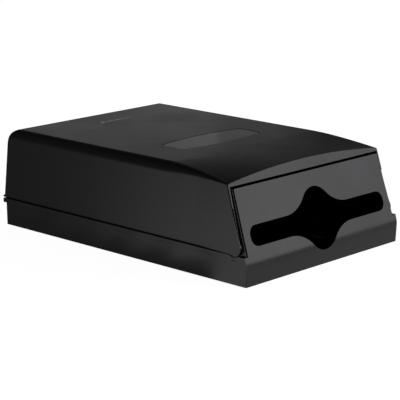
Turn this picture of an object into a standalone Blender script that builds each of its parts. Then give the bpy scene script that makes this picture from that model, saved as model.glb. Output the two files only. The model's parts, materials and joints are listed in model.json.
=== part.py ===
"""Folded-napkin dispenser, lying on its back plate.

Frame: origin at the middle of the underside, +X across the width, +Y from the slot end to the lock end,
+Z up from the back plate to the cover's top face. Lengths below are in millimetres; add_mesh turns
them into metres. The cover swings on two pins beside the slot panel, and a cam lock holds its far end.
"""
import math

import bmesh
import bpy
from mathutils import Vector

MM = 0.001
GAP = 0.3              # clearance left between neighbouring pieces
OVERRUN = 1.0          # how far a cutter runs past the face it cuts

# ---- overall sizes -----------------------------------------------------------------------------
FRONT_Y = -189.0       # foot of the back tray's front wall
CREASE_Y = -190.0      # the front wall leans out to here, where the slot panel starts
CENTRE_SHIFT = 0.5     # slides every piece along Y so that the origin is at the middle of the length
TRAY_LENGTH = 370.0
TRAY_FOOT_HALF = 124.3
TRAY_RIM_HALF = 124.9
TRAY_HEIGHT = 30.4
TRAY_FLOOR = 3.0
TRAY_WALL = 2.5
LEDGE_INNER_HALF = 119.3
LEDGE_THICKNESS = 2.5
BACK_LIP_REACH = 3.7   # how far the tray's rear lip stands out from its wall
BACK_LIP_HEIGHT = 4.8

COVER_TOP = 111.2
COVER_WALL = 2.4
COVER_RIM_Z = TRAY_HEIGHT + GAP
COVER_RIM_HALF = 121.7
COVER_DRAFT = 0.0212   # the side walls lean in by this much per millimetre of height
FLARE = 1.8            # the side walls spread by this much towards the front end
FLARE_GROWTH = 0.008     # fraction by which the spread grows per millimetre down from WIDENING_Z
FLARE_START_Y = -118.0
FLARE_END_Y = -180.0
COVER_LIP_REACH = 2.6
COVER_LIP_HEIGHT = 2.6
COVER_BACK_Y = 186.4   # outer face of the rear wall just above its lip
BACK_LEAN = 0.095      # the rear wall leans in by this much per millimetre of height
BACK_ROUND_DEPTH = 15.0    # the cover's rear top edge is rounded this far forward
BACK_ROUND_HEIGHT = 20.0   # and this far down

# ---- sloping slot panel ------------------------------------------------------------------------
PANEL_FOOT_Z = 21.0
PANEL_TILT = math.radians(18.57)
PANEL_TOP_S = 79.9
PANEL_THICKNESS = 2.5
PANEL_HALF = 117.0
CHEEK_INNER = 115.6
CHEEK_OUTER = 118.3
CHEEK_RECESS = 1.2
GROOVE_INNER = 116.7
GROOVE_OUTER = 117.5
GROOVE_DEPTH = 1.8
GROOVE_FOOT_S = 10.0
WIDENING = 0.0003      # panel and cheeks widen by this fraction per millimetre down from WIDENING_Z
WIDENING_Z = 97.0

# ---- pull-out slot, measured on the panel: x across, s up the slope ------------------------------
SLOT_MID_S = 29.0
SLOT_HALF_LENGTH = 109.0
SLOT_HALF_HEIGHT = 11.0
SLOT_END_RADIUS = 10.0
BULGE_RADIUS = 23.5
BULGE_CENTRE = 10.5
BULGE_FLANK_X = 50.0

# ---- cover's front end --------------------------------------------------------------------------
BEND_Y = -74.0         # the top is flat behind this line and falls away in front of it
FRONT_TOP_Y = -160.3
RIDGE_HALF = 111.15
RIDGE_WIDENING = 9.05
RIDGE_DROP = 9.2
CROWN_DROP = 2.0
SIDE_FILLET = 11.6
FRONT_FILLET = 1.2
FRAME_RECESS = 1.85
FRAME_INNER_HALF = 119.4
FRAME_FOOT_S = 82.7

# ---- hinge --------------------------------------------------------------------------------------
PIVOT_Y = FRONT_Y + 17.0
PIVOT_Z = 38.0
LOBE_RADIUS = 8.6
LOBE_RELIEF = 9.4
LOBE_FRONT_ANGLE = math.radians(40.0)
PIN_RADIUS = 2.0
PIN_HEAD_RADIUS = 4.0
PIN_HEAD_LENGTH = 2.0
PIN_END = 122.6
PIVOT_BOSS_RADIUS = 6.0
PIVOT_BOSS_INNER = 112.7
COVER_BOSS_RADIUS = 5.5

# ---- napkin level window ------------------------------------------------------------------------
WINDOW_HALF = 62.5
WINDOW_BACK_Y = -3.3
WINDOW_BACK_SAG = 7.0
WINDOW_FRONT_Y = -47.5
WINDOW_FRONT_SAG = 5.0
WINDOW_BACK_RADIUS = 3.0
WINDOW_FRONT_RADIUS = 8.0
WINDOW_FLANGE = 3.5
WINDOW_FLANGE_THICKNESS = 2.0
RETAINER_SIDE = 11.5
RETAINER_ENDS = 8.0
RETAINER_THICKNESS = 2.0
WINDOW_SCREW_X = 70.0
WINDOW_SCREW_YS = (-38.0, -14.0)

# ---- cam lock -----------------------------------------------------------------------------------
LOCK_Z = 60.0
LOCK_PAD_RADIUS = 13.0
LOCK_PAD_OUTER_Y = 185.0
LOCK_PAD_INNER_Y = 179.5
BARREL_RADIUS = 8.0
BARREL_BACK_Y = 171.5
LOCK_FLANGE_RADIUS = 10.5
LOCK_FLANGE_THICKNESS = 1.7
WASHER_RADIUS = 11.0
WASHER_THICKNESS = 0.8
NUT_ACROSS_CORNERS = 22.0
NUT_THICKNESS = 3.5
PLUG_RADIUS = 5.5
PLUG_INNER_Y = 170.0
CAM_REACH = 30.0
CAM_WIDTH = 10.0
CAM_THICKNESS = 2.2
CAM_SCREW_RADIUS = 1.6
CAM_SCREW_DEPTH = 8.0

# ---- lock keeper on the tray ---------------------------------------------------------------------
KEEPER_POST_X = 34.0
KEEPER_POST_WIDTH = 4.0
KEEPER_TAB_X = 16.0
KEEPER_THICKNESS = 2.5
KEEPER_NEAR_Y = 163.0
KEEPER_FAR_Y = 172.0
KEEPER_FOOT_XS = (20.0, 52.0)
KEEPER_SCREW_XS = (25.0, 46.0)

# ---- side guide rails -----------------------------------------------------------------------------
BOSS_TOP_Z = 8.0
BOSS_RADIUS = 4.0
RAIL_NEAR_Y = -120.0
RAIL_FAR_Y = 120.0
RAIL_FACE_X = 112.6
RAIL_THICKNESS = 1.8
RAIL_FOOT_X = 103.0
RAIL_TOP_Z = 58.0
RAIL_SCREW_X = 107.5
RAIL_SCREW_YS = (-90.0, 0.0, 90.0)

SCREW_SHANK_RADIUS = 1.3
SCREW_HEAD_RADIUS = 2.8
SCREW_HEAD_HEIGHT = 1.6
SCREW_HOLE_RADIUS = 1.65

# ---- wall-screw openings in the back plate --------------------------------------------------------
KEYHOLE_X = 70.0
KEYHOLE_Y = 140.0
KEYHOLE_HEAD_RADIUS = 4.5
KEYHOLE_SLOT_RADIUS = 2.4
KEYHOLE_SLOT_LENGTH = 11.0
LOWER_SLOT_Y = -120.0
RIB_X = 38.0
RIB_HALF_LENGTH = 145.0
RIB_WIDTH = 2.0
RIB_HEIGHT = 2.5


# ---- materials --------------------------------------------------------------------------------------
def make_material(name, color, roughness, metallic=0.0):
    material = bpy.data.materials.new(name)
    material.use_nodes = True
    shader = material.node_tree.nodes["Principled BSDF"]
    shader.inputs["Base Color"].default_value = (*color, 1.0)
    shader.inputs["Roughness"].default_value = roughness
    shader.inputs["Metallic"].default_value = metallic
    return material


# ---- mesh building ------------------------------------------------------------------------------------
def add_mesh(name, points, faces):
    """One object from millimetre points; its faces are turned to point outwards."""
    mesh = bpy.data.meshes.new(name)
    mesh.from_pydata([tuple(c * MM for c in point) for point in points], [], faces)
    bm = bmesh.new()
    bm.from_mesh(mesh)
    bmesh.ops.recalc_face_normals(bm, faces=bm.faces)
    bm.to_mesh(mesh)
    bm.free()
    thing = bpy.data.objects.new(name, mesh)
    bpy.context.scene.collection.objects.link(thing)
    return thing


def loft(name, rings):
    """A closed body through rings that all have the same number of points."""
    count = len(rings[0])
    points = [point for ring in rings for point in ring]
    faces = [list(range(count))]
    for level in range(len(rings) - 1):
        low = level * count
        high = low + count
        for i in range(count):
            j = (i + 1) % count
            faces.append([low + i, low + j, high + j, high + i])
    last = (len(rings) - 1) * count
    faces.append([last + i for i in range(count)])
    return add_mesh(name, points, faces)


def prism(name, outline, axis, low, high):
    """An outline drawn in the other two axes, in X, Y, Z order, extruded along axis."""
    def place(a, b, c):
        if axis == "x":
            return (c, a, b)
        if axis == "y":
            return (a, c, b)
        return (a, b, c)
    rings = [[place(a, b, level) for a, b in outline] for level in (low, high)]
    return loft(name, rings)


def box(name, x_range, y_range, z_range):
    outline = [(x_range[0], y_range[0]), (x_range[1], y_range[0]), (x_range[1], y_range[1]), (x_range[0], y_range[1])]
    return prism(name, outline, "z", z_range[0], z_range[1])


def circle(centre_a, centre_b, radius, count=24):
    return [
        (centre_a + radius * math.cos(2 * math.pi * i / count),
         centre_b + radius * math.sin(2 * math.pi * i / count))
        for i in range(count)
    ]


def arc(centre_a, centre_b, radius, start, end, steps):
    """Points from angle start to angle end, both included, in radians."""
    angles = [start + (end - start) * i / steps for i in range(steps + 1)]
    return [(centre_a + radius * math.cos(t), centre_b + radius * math.sin(t)) for t in angles]


def rod(name, axis, centre, radius, low, high, count=24):
    return prism(name, circle(centre[0], centre[1], radius, count), axis, low, high)


def rounded(corners, steps=4):
    """An outline from (a, b, radius) corners, each turned into an arc of that radius."""
    outline = []
    for i, (a, b, radius) in enumerate(corners):
        here = Vector((a, b))
        before = Vector(corners[i - 1][:2]) - here
        after = Vector(corners[(i + 1) % len(corners)][:2]) - here
        if radius <= 0.0:
            outline.append((a, b))
            continue
        before.normalize()
        after.normalize()
        half = before.angle(after) / 2
        start = here + before * (radius / math.tan(half))
        end = here + after * (radius / math.tan(half))
        centre = here + (before + after).normalized() * (radius / math.sin(half))
        for k in range(steps + 1):
            spoke = (start - centre).lerp(end - centre, k / steps).normalized()
            point = centre + spoke * radius
            outline.append((point.x, point.y))
    return outline


def combine(target, operation, *tools):
    """Apply one boolean per tool to the target, then remove the tools."""
    for tool in tools:
        modifier = target.modifiers.new("combine", "BOOLEAN")
        modifier.operation = operation
        modifier.solver = "EXACT"
        modifier.object = tool
        graph = bpy.context.evaluated_depsgraph_get()
        result = bpy.data.meshes.new_from_object(target.evaluated_get(graph))
        target.modifiers.clear()
        target.data = result
        bpy.data.objects.remove(tool)
    return target


def cut(target, *tools):
    return combine(target, "DIFFERENCE", *tools)


def fuse(target, *tools):
    return combine(target, "UNION", *tools)


def finish(thing, material, pivot=(0.0, 0.0, 0.0)):
    """Give a piece its material and smooth shading, and put its origin on pivot (millimetres)."""
    mesh = thing.data
    mesh.materials.clear()
    mesh.materials.append(material)
    origin = Vector(pivot) * MM
    for vertex in mesh.vertices:
        vertex.co -= origin
    thing.location = origin + Vector((0.0, CENTRE_SHIFT * MM, 0.0))
    mesh.shade_smooth()
    mesh.set_sharp_from_angle(angle=math.radians(30.0))
    return thing


# ---- shared geometry --------------------------------------------------------------------------------------
def on_panel(s, depth):
    """(y, z) of a point s up the slot panel's slope and depth behind its outer face."""
    y = CREASE_Y + s * math.sin(PANEL_TILT) + depth * math.cos(PANEL_TILT)
    z = PANEL_FOOT_Z + s * math.cos(PANEL_TILT) - depth * math.sin(PANEL_TILT)
    return (y, z)


def panel_at_height(z, depth):
    """y of the plane that lies depth behind the panel's outer face, at height z."""
    return CREASE_Y + (z - PANEL_FOOT_Z) * math.tan(PANEL_TILT) + depth / math.cos(PANEL_TILT)


def widening(z):
    return 1.0 + WIDENING * (WIDENING_Z - z)


def widen(thing):
    """Spread a piece of the slot end sideways, more the lower it is."""
    for vertex in thing.data.vertices:
        vertex.co.x *= widening(vertex.co.z / MM)
    return thing


def screw(name, axis, centre, seat, tip, direction):
    """A pan-head screw whose head sits at seat and whose shank ends at tip, along axis."""
    head_end = seat - direction * SCREW_HEAD_HEIGHT
    head = rod(name, axis, centre, SCREW_HEAD_RADIUS, min(seat, head_end), max(seat, head_end), 16)
    inside = seat - direction * SCREW_HEAD_HEIGHT / 2
    shank = rod("shank", axis, centre, SCREW_SHANK_RADIUS, min(inside, tip), max(inside, tip), 12)
    return fuse(head, shank)


# ---- back tray ------------------------------------------------------------------------------------------------
def tray_block():
    def rectangle(half, front_y, back_y, z):
        return [(-half, front_y, z), (half, front_y, z), (half, back_y, z), (-half, back_y, z)]
    foot_back = FRONT_Y + TRAY_LENGTH
    rim_back = foot_back + TRAY_RIM_HALF - TRAY_FOOT_HALF
    rim_front = FRONT_Y + (CREASE_Y - FRONT_Y) * TRAY_HEIGHT / PANEL_FOOT_Z
    block = loft("base_tray", [
        rectangle(TRAY_FOOT_HALF, FRONT_Y, foot_back, 0.0),
        rectangle(TRAY_RIM_HALF, rim_front, rim_back, TRAY_HEIGHT),
    ])
    lip = box(
        "lip", (-TRAY_RIM_HALF, TRAY_RIM_HALF), (rim_back - TRAY_WALL, rim_back + BACK_LIP_REACH),
        (TRAY_HEIGHT - BACK_LIP_HEIGHT, TRAY_HEIGHT),
    )
    fuse(block, lip)
    slope = prism("slope", [
        on_panel(0.0, 0.0), on_panel(20.0, 0.0), (CREASE_Y - 5.0, TRAY_HEIGHT + 10.0), (CREASE_Y - 5.0, PANEL_FOOT_Z),
    ], "x", -TRAY_RIM_HALF - OVERRUN, TRAY_RIM_HALF + OVERRUN)
    return cut(block, slope)


def tray_pocket():
    """The hollow under the rim's inner ledge."""
    ceiling = TRAY_HEIGHT - LEDGE_THICKNESS
    back_y = FRONT_Y + TRAY_LENGTH - TRAY_WALL
    half = TRAY_FOOT_HALF - TRAY_WALL
    return prism("pocket", [
        (FRONT_Y + TRAY_WALL, TRAY_FLOOR), (back_y, TRAY_FLOOR), (back_y, ceiling),
        (panel_at_height(ceiling, PANEL_THICKNESS), ceiling),
        (FRONT_Y + TRAY_WALL, PANEL_FOOT_Z - 0.5),
    ], "x", -half, half)


def tray_mouth():
    """The opening inside the rim's ledge."""
    low = TRAY_HEIGHT - LEDGE_THICKNESS - OVERRUN
    high = TRAY_HEIGHT + OVERRUN
    back_y = FRONT_Y + TRAY_LENGTH - TRAY_WALL
    return prism("mouth", [
        (panel_at_height(low, PANEL_THICKNESS), low), (back_y, low), (back_y, high),
        (panel_at_height(high, PANEL_THICKNESS), high),
    ], "x", -LEDGE_INNER_HALF, LEDGE_INNER_HALF)


def slot_panel():
    return widen(prism("panel", [
        on_panel(5.0, 0.0), on_panel(PANEL_TOP_S, 0.0),
        on_panel(PANEL_TOP_S, PANEL_THICKNESS), on_panel(5.0, PANEL_THICKNESS),
    ], "x", -PANEL_HALF, PANEL_HALF))


def cheek(side):
    """The gusset behind one edge of the panel, which also carries that side's hinge pin."""
    outline = [
        on_panel(4.0, CHEEK_RECESS), on_panel(PANEL_TOP_S, CHEEK_RECESS), on_panel(PANEL_TOP_S - 1.0, 6.0),
        (PIVOT_Y + 16.0, PIVOT_Z + 10.0), (PIVOT_Y + 26.0, TRAY_FLOOR - OVERRUN),
        (FRONT_Y + TRAY_WALL / 2, TRAY_FLOOR - OVERRUN), (FRONT_Y + TRAY_WALL / 2, PANEL_FOOT_Z - 2.0),
    ]
    xs = sorted((side * CHEEK_INNER, side * CHEEK_OUTER))
    plate = widen(prism("cheek", outline, "x", xs[0], xs[1]))
    xs = sorted((side * PIVOT_BOSS_INNER, side * (CHEEK_INNER * widening(PIVOT_Z) + 1.0)))
    boss = rod("boss", "x", (PIVOT_Y, PIVOT_Z), PIVOT_BOSS_RADIUS, xs[0], xs[1])
    return fuse(plate, boss)


def edge_groove(side):
    xs = sorted((side * GROOVE_INNER, side * GROOVE_OUTER))
    return widen(prism("groove", [
        on_panel(GROOVE_FOOT_S, -OVERRUN), on_panel(PANEL_TOP_S + OVERRUN, -OVERRUN),
        on_panel(PANEL_TOP_S + OVERRUN, GROOVE_DEPTH), on_panel(GROOVE_FOOT_S, GROOVE_DEPTH),
    ], "x", xs[0], xs[1]))


def slot_outline():
    """Long slot with a round bulge up and down at its middle, as (x, s) on the panel."""
    rise = SLOT_HALF_HEIGHT - BULGE_CENTRE
    flank_radius = (BULGE_FLANK_X ** 2 + rise ** 2 - BULGE_RADIUS ** 2) / (2 * (BULGE_RADIUS - rise))
    flank_height = SLOT_HALF_HEIGHT + flank_radius
    lean = math.atan2(flank_height - BULGE_CENTRE, BULGE_FLANK_X)
    quarter = []
    end_x = SLOT_HALF_LENGTH - SLOT_END_RADIUS
    end_s = SLOT_HALF_HEIGHT - SLOT_END_RADIUS
    quarter += arc(end_x, end_s, SLOT_END_RADIUS, 0.0, math.pi / 2, 6)
    quarter += arc(BULGE_FLANK_X, flank_height, flank_radius, -math.pi / 2, lean - math.pi, 7)
    quarter += arc(0.0, BULGE_CENTRE, BULGE_RADIUS, lean, math.pi / 2, 5)
    half = quarter + [(-x, s) for x, s in reversed(quarter[:-1])]
    lower = [(x, -s) for x, s in reversed(half)]
    return [(x, SLOT_MID_S + s) for x, s in half + lower]


def slot_cutter():
    rings = []
    for depth in (-3.0, PANEL_THICKNESS + 3.0):
        rings.append([(x, *on_panel(s, depth)) for x, s in slot_outline()])
    return loft("slot", rings)


def keyhole(x):
    """Head hole with a narrow slot running up the wall, towards +Y."""
    head = rod("keyhole", "z", (x, KEYHOLE_Y), KEYHOLE_HEAD_RADIUS, -OVERRUN, TRAY_FLOOR + OVERRUN)
    outline = arc(x, KEYHOLE_Y + KEYHOLE_SLOT_LENGTH, KEYHOLE_SLOT_RADIUS, 0.0, math.pi, 8)
    outline += [(x - KEYHOLE_SLOT_RADIUS, KEYHOLE_Y), (x + KEYHOLE_SLOT_RADIUS, KEYHOLE_Y)]
    neck = prism("neck", outline, "z", -OVERRUN - 0.5, TRAY_FLOOR + OVERRUN + 0.5)
    return fuse(head, neck)


def lower_screw_slot(x):
    half = KEYHOLE_SLOT_LENGTH / 2
    outline = arc(x, LOWER_SLOT_Y + half, KEYHOLE_SLOT_RADIUS, 0.0, math.pi, 8)
    outline += arc(x, LOWER_SLOT_Y - half, KEYHOLE_SLOT_RADIUS, math.pi, 2 * math.pi, 8)
    return prism("lower_slot", outline, "z", -OVERRUN, TRAY_FLOOR + OVERRUN)


def floor_boss_places():
    rails = [(side * RAIL_SCREW_X, y) for side in (-1, 1) for y in RAIL_SCREW_YS]
    middle = (KEEPER_NEAR_Y + KEEPER_FAR_Y) / 2
    return rails + [(x, middle) for x in KEEPER_SCREW_XS]


def base_tray(material):
    tray = tray_block()
    cut(tray, tray_pocket(), tray_mouth())
    fuse(tray, slot_panel())
    for side in (-1, 1):
        fuse(tray, cheek(side))
        rib = box(
            "rib", sorted((side * RIB_X, side * (RIB_X + RIB_WIDTH))), (-RIB_HALF_LENGTH, RIB_HALF_LENGTH),
            (TRAY_FLOOR - OVERRUN, TRAY_FLOOR + RIB_HEIGHT),
        )
        fuse(tray, rib)
    for place in floor_boss_places():
        fuse(tray, rod("boss", "z", place, BOSS_RADIUS, TRAY_FLOOR - OVERRUN, BOSS_TOP_Z, 16))
        cut(tray, rod("pilot", "z", place, SCREW_HOLE_RADIUS, TRAY_FLOOR - 0.5, BOSS_TOP_Z + OVERRUN, 12))
    for side in (-1, 1):
        cut(tray, edge_groove(side))
        relief_x = CHEEK_OUTER * widening(PIVOT_Z - LOBE_RELIEF) + 0.02
        xs = sorted((side * relief_x, side * (TRAY_RIM_HALF + OVERRUN)))
        cut(tray, rod("relief", "x", (PIVOT_Y, PIVOT_Z), LOBE_RELIEF, xs[0], xs[1], 48))
        xs = sorted((side * (PIVOT_BOSS_INNER - OVERRUN), side * (relief_x + OVERRUN)))
        cut(tray, rod("pin_hole", "x", (PIVOT_Y, PIVOT_Z), PIN_RADIUS + GAP, xs[0], xs[1]))
        cut(tray, keyhole(side * KEYHOLE_X), lower_screw_slot(side * KEYHOLE_X))
    cut(tray, slot_cutter())
    return finish(tray, material)


# ---- cover -------------------------------------------------------------------------------------------------------
def side_wall_x(y, z):
    spread = min(max((FLARE_START_Y - y) / (FLARE_START_Y - FLARE_END_Y), 0.0), 1.0)
    flare = FLARE * spread * (1.0 + FLARE_GROWTH * (WIDENING_Z - z))
    return COVER_RIM_HALF + flare - COVER_DRAFT * (z - COVER_RIM_Z)


def cover_section(y, inset, low_z):
    """Closed outline of the cover at station y, inset from its outer face, as (x, y, z) points."""
    reach = min(max((BEND_Y - y) / (BEND_Y - FRONT_TOP_Y), 0.0), 1.03)
    ridge_z = COVER_TOP - RIDGE_DROP * reach ** 1.6 - inset
    crown_z = COVER_TOP - CROWN_DROP * reach ** 1.6 - inset
    fillet = SIDE_FILLET + (FRONT_FILLET - SIDE_FILLET) * reach
    fillet_z = min(ridge_z + inset - fillet, ridge_z - 0.6)
    wall_x = side_wall_x(y, fillet_z) - inset
    ridge_x = min(RIDGE_HALF + RIDGE_WIDENING * reach ** 1.35, wall_x - 0.6)
    right = [(side_wall_x(y, low_z) - inset, low_z)]
    for k in range(6):
        t = math.pi / 2 * k / 5
        right.append((ridge_x + (wall_x - ridge_x) * math.cos(t), fillet_z + (ridge_z - fillet_z) * math.sin(t)))
    for k in range(1, 6):
        x = ridge_x * (1.0 - k / 6)
        right.append((x, crown_z - (crown_z - ridge_z) * (x / ridge_x) ** 2))
    left = [(-x, z) for x, z in reversed(right)]
    return [(x, y, z) for x, z in right + [(0.0, crown_z)] + left]


def cover_stations(back_y):
    """Stations along Y: dense where the top bends down, none needed where it is flat."""
    bend = [BEND_Y + (FRONT_TOP_Y - BEND_Y) * k / 8 for k in range(9)]
    return [FRONT_Y - 3.0, FLARE_END_Y, FRONT_TOP_Y - 4.0] + list(reversed(bend)) + [back_y]


def back_profile(inset):
    """(y, z) points up the leaning rear wall and round its top edge, inset from the outer face."""
    start = math.atan(BACK_LEAN * BACK_ROUND_HEIGHT / BACK_ROUND_DEPTH)
    foot_z = COVER_RIM_Z + COVER_LIP_HEIGHT
    centre_z = COVER_TOP + 0.05 - BACK_ROUND_HEIGHT
    start_z = centre_z + BACK_ROUND_HEIGHT * math.sin(start)
    start_y = COVER_BACK_Y - (start_z - foot_z) * BACK_LEAN
    centre_y = start_y - BACK_ROUND_DEPTH * math.cos(start)
    points = [(COVER_BACK_Y - inset * math.hypot(1.0, BACK_LEAN), foot_z)]
    for k in range(8):
        t = start + (math.pi / 2 - start) * k / 7
        y = centre_y + (BACK_ROUND_DEPTH - inset) * math.cos(t)
        points.append((y, centre_z + (BACK_ROUND_HEIGHT - inset) * math.sin(t)))
    return points


def lobe_arc(steps):
    """Round the hinge lobe, from the cover's lower edge behind the pin to the front edge above it."""
    drop = PIVOT_Z - COVER_RIM_Z
    start = -math.asin(drop / LOBE_RADIUS)
    return arc(PIVOT_Y, PIVOT_Z, LOBE_RADIUS, start, -math.pi - LOBE_FRONT_ANGLE, steps)


def cover_side_profile():
    """The cover seen from the side, as (y, z)."""
    high = COVER_TOP + 5.0
    joint_z = on_panel(FRAME_FOOT_S - 1.0, FRAME_RECESS)[1]
    rear = back_profile(0.0)
    profile = lobe_arc(14)
    profile += [(panel_at_height(joint_z, FRAME_RECESS), joint_z), (panel_at_height(high, FRAME_RECESS), high)]
    profile += [(rear[-1][0], high)]
    profile += list(reversed(rear))
    lip_y = COVER_BACK_Y + COVER_LIP_REACH
    profile += [(lip_y, COVER_RIM_Z + COVER_LIP_HEIGHT - 0.6), (lip_y, COVER_RIM_Z)]
    return profile


def cover_cavity():
    inset = COVER_WALL
    stations = cover_stations(COVER_BACK_Y)
    cavity = loft("cavity", [cover_section(y, inset, COVER_RIM_Z - 15.0) for y in stations])
    high = COVER_TOP + 5.0
    low = COVER_RIM_Z - 20.0
    rear = back_profile(inset)
    depth = FRAME_RECESS + COVER_WALL
    outline = [(panel_at_height(low, depth), low), (rear[0][0], low)] + rear
    outline += [(rear[-1][0], high), (panel_at_height(high, depth), high)]
    limit = prism("limit", outline, "x", -TRAY_RIM_HALF, TRAY_RIM_HALF)
    return combine(cavity, "INTERSECT", limit)


def front_opening():
    return widen(prism("front_opening", [
        on_panel(-20.0, -5.0), on_panel(FRAME_FOOT_S, -5.0), on_panel(FRAME_FOOT_S, 10.0), on_panel(-20.0, 10.0),
    ], "x", -FRAME_INNER_HALF, FRAME_INNER_HALF))


def window_outline(grow, grow_ends=None):
    """The window seen from above: both long edges bow towards the ends, with rounded corners."""
    ends = grow if grow_ends is None else grow_ends
    half = WINDOW_HALF + grow

    def back(x):
        return WINDOW_BACK_Y + ends - WINDOW_BACK_SAG * (x / WINDOW_HALF) ** 2

    def front(x):
        return WINDOW_FRONT_Y - ends + WINDOW_FRONT_SAG * (x / WINDOW_HALF) ** 2

    inner = [half * k / 6 for k in range(-5, 6)]
    corners = [(-half, front(half), WINDOW_FRONT_RADIUS)]
    corners += [(x, front(x), 0.0) for x in inner]
    corners += [(half, front(half), WINDOW_FRONT_RADIUS), (half, back(half), WINDOW_BACK_RADIUS)]
    corners += [(x, back(x), 0.0) for x in reversed(inner)]
    corners += [(-half, back(half), WINDOW_BACK_RADIUS)]
    return rounded(corners)


def window_screw_places():
    return [(side * WINDOW_SCREW_X, y) for side in (-1, 1) for y in WINDOW_SCREW_YS]


def flange_bottom_z():
    return COVER_TOP - COVER_WALL - GAP - WINDOW_FLANGE_THICKNESS


def cover_shell(material):
    stations = cover_stations(COVER_BACK_Y + COVER_LIP_REACH + OVERRUN)
    shell = loft("cover_shell", [cover_section(y, 0.0, COVER_RIM_Z - 12.0) for y in stations])
    outline = prism("side", cover_side_profile(), "x", -TRAY_RIM_HALF, TRAY_RIM_HALF)
    combine(shell, "INTERSECT", outline)
    cut(shell, cover_cavity(), front_opening())
    for side in (-1, 1):
        boss_x = CHEEK_OUTER * widening(PIVOT_Z - COVER_BOSS_RADIUS) + GAP
        xs = sorted((side * boss_x, side * (side_wall_x(PIVOT_Y, PIVOT_Z) - 0.83)))
        fuse(shell, rod("boss", "x", (PIVOT_Y, PIVOT_Z), COVER_BOSS_RADIUS, xs[0], xs[1]))
        xs = sorted((side * (boss_x - OVERRUN), side * (PIN_END + GAP)))
        cut(shell, rod("pin_hole", "x", (PIVOT_Y, PIVOT_Z), PIN_RADIUS + GAP, xs[0], xs[1]))
    cut(shell, prism("window", window_outline(GAP), "z", COVER_TOP - COVER_WALL - 5.0, COVER_TOP + 5.0))
    for place in window_screw_places():
        fuse(shell, rod("boss", "z", place, 2.9, flange_bottom_z(), COVER_TOP - 1.2, 16))
        cut(shell, rod("pilot", "z", place, SCREW_HOLE_RADIUS, flange_bottom_z() - OVERRUN, COVER_TOP - 1.0, 12))
    fuse(shell, rod("lock_pad", "y", (0.0, LOCK_Z), LOCK_PAD_RADIUS, LOCK_PAD_INNER_Y, LOCK_PAD_OUTER_Y, 32))
    cut(shell, rod("lock_hole", "y", (0.0, LOCK_Z), BARREL_RADIUS + GAP, LOCK_PAD_INNER_Y - 5.0,
                   LOCK_PAD_OUTER_Y + 5.0, 32))
    return finish(shell, material, (0.0, PIVOT_Y, PIVOT_Z))


# ---- window and its retainer ---------------------------------------------------------------------------------------
def level_window(material):
    pane = prism("level_window", window_outline(0.0), "z", flange_bottom_z() + 1.0, COVER_TOP)
    flange = prism("flange", window_outline(WINDOW_FLANGE), "z", flange_bottom_z(),
                   flange_bottom_z() + WINDOW_FLANGE_THICKNESS)
    return finish(fuse(pane, flange), material, (0.0, PIVOT_Y, PIVOT_Z))


def window_retainer(material):
    top = flange_bottom_z() - GAP
    frame = prism("window_retainer", window_outline(RETAINER_SIDE, RETAINER_ENDS), "z", top - RETAINER_THICKNESS, top)
    opening = prism("opening", window_outline(-2.0), "z", top - RETAINER_THICKNESS - OVERRUN, top + OVERRUN)
    cut(frame, opening)
    for place in window_screw_places():
        cut(frame, rod("hole", "z", place, SCREW_HOLE_RADIUS, top - RETAINER_THICKNESS - OVERRUN, top + OVERRUN, 12))
    return finish(frame, material, (0.0, PIVOT_Y, PIVOT_Z))


def window_retainer_screws(material):
    seat = flange_bottom_z() - GAP - RETAINER_THICKNESS - GAP
    for number, place in enumerate(window_screw_places(), 1):
        piece = screw(f"window_screw_{number}", "z", place, seat, COVER_TOP - 1.6, 1)
        finish(piece, material, (0.0, PIVOT_Y, PIVOT_Z))


# ---- hinge pins -----------------------------------------------------------------------------------------------------
def hinge_pin(name, side, material):
    head_face = PIVOT_BOSS_INNER - GAP
    xs = sorted((side * (head_face - PIN_HEAD_LENGTH), side * head_face))
    head = rod(name, "x", (PIVOT_Y, PIVOT_Z), PIN_HEAD_RADIUS, xs[0], xs[1])
    xs = sorted((side * (head_face - 1.0), side * PIN_END))
    shank = rod("shank", "x", (PIVOT_Y, PIVOT_Z), PIN_RADIUS, xs[0], xs[1])
    return finish(fuse(head, shank), material, (0.0, PIVOT_Y, PIVOT_Z))


# ---- cam lock -------------------------------------------------------------------------------------------------------
LOCK_CENTRE = (0.0, LOCK_Z)
LOCK_PIVOT = (0.0, PLUG_INNER_Y, LOCK_Z)


def lock_face_y():
    return LOCK_PAD_OUTER_Y + GAP + LOCK_FLANGE_THICKNESS


def lock_body(material):
    barrel = rod("lock_body", "y", LOCK_CENTRE, BARREL_RADIUS, BARREL_BACK_Y, LOCK_PAD_OUTER_Y + 1.0, 32)
    flange = rod("flange", "y", LOCK_CENTRE, LOCK_FLANGE_RADIUS, LOCK_PAD_OUTER_Y + GAP, lock_face_y(), 32)
    fuse(barrel, flange)
    cut(barrel, rod("bore", "y", LOCK_CENTRE, PLUG_RADIUS + GAP, BARREL_BACK_Y - 5.0, lock_face_y() + 5.0))
    return finish(barrel, material, LOCK_PIVOT)


def lock_ring(name, outline, near_y, far_y, material):
    ring = prism(name, outline, "y", near_y, far_y)
    cut(ring, rod("bore", "y", LOCK_CENTRE, BARREL_RADIUS + GAP, near_y - OVERRUN, far_y + OVERRUN, 32))
    return finish(ring, material, LOCK_PIVOT)


def lock_washer(material):
    far = LOCK_PAD_INNER_Y - GAP
    return lock_ring("lock_washer", circle(0.0, LOCK_Z, WASHER_RADIUS, 32), far - WASHER_THICKNESS, far, material)


def lock_nut(material):
    far = LOCK_PAD_INNER_Y - 2 * GAP - WASHER_THICKNESS
    outline = circle(0.0, LOCK_Z, NUT_ACROSS_CORNERS / 2, 6)
    return lock_ring("lock_nut", outline, far - NUT_THICKNESS, far, material)


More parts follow.
